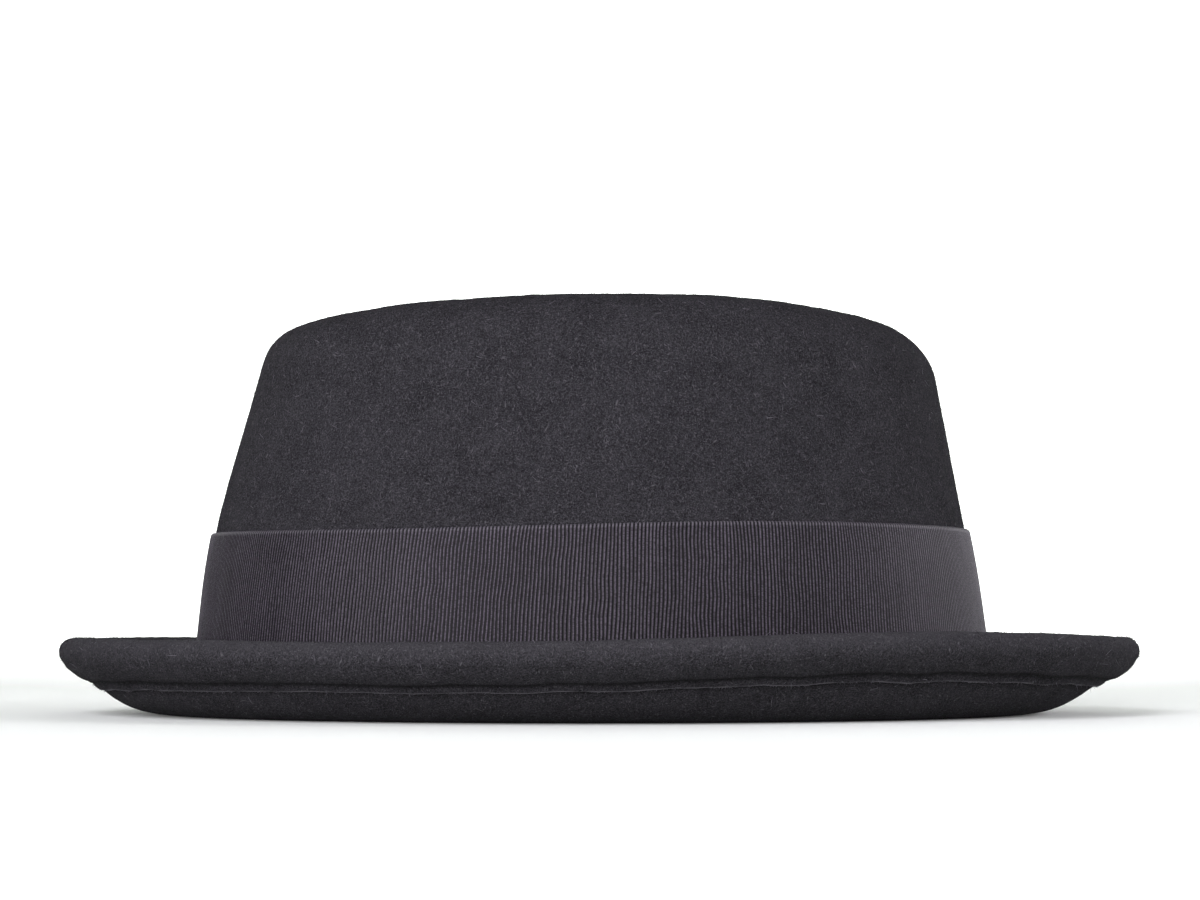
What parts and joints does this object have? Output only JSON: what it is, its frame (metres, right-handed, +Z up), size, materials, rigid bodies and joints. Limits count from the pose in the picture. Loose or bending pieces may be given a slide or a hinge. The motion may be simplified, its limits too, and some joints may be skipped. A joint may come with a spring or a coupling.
{
  "type": "porkpie hat",
  "caption": "Felt porkpie hat with a creased flat-topped crown, a short turned-up brim with a stitched, folded-under edge, and a wide ribbed ribbon round the crown.",
  "frame": {"origin": "on the surface the brim rests on, under the middle of the brim", "axes": "+X towards the front of the hat, +Y towards the wearer's left, +Z up through the crown"},
  "size_m": [0.2844, 0.2508, 0.106],
  "materials": {
    "wool_felt": "matte wool felt, slightly mottled, with short loose fibres",
    "grosgrain_ribbon": "satin, ribbed across its width"
  },
  "bodies": {
    "root": {"felt_body": "wool_felt", "ribbon_band": "grosgrain_ribbon"}
  },
  "joints": []
}
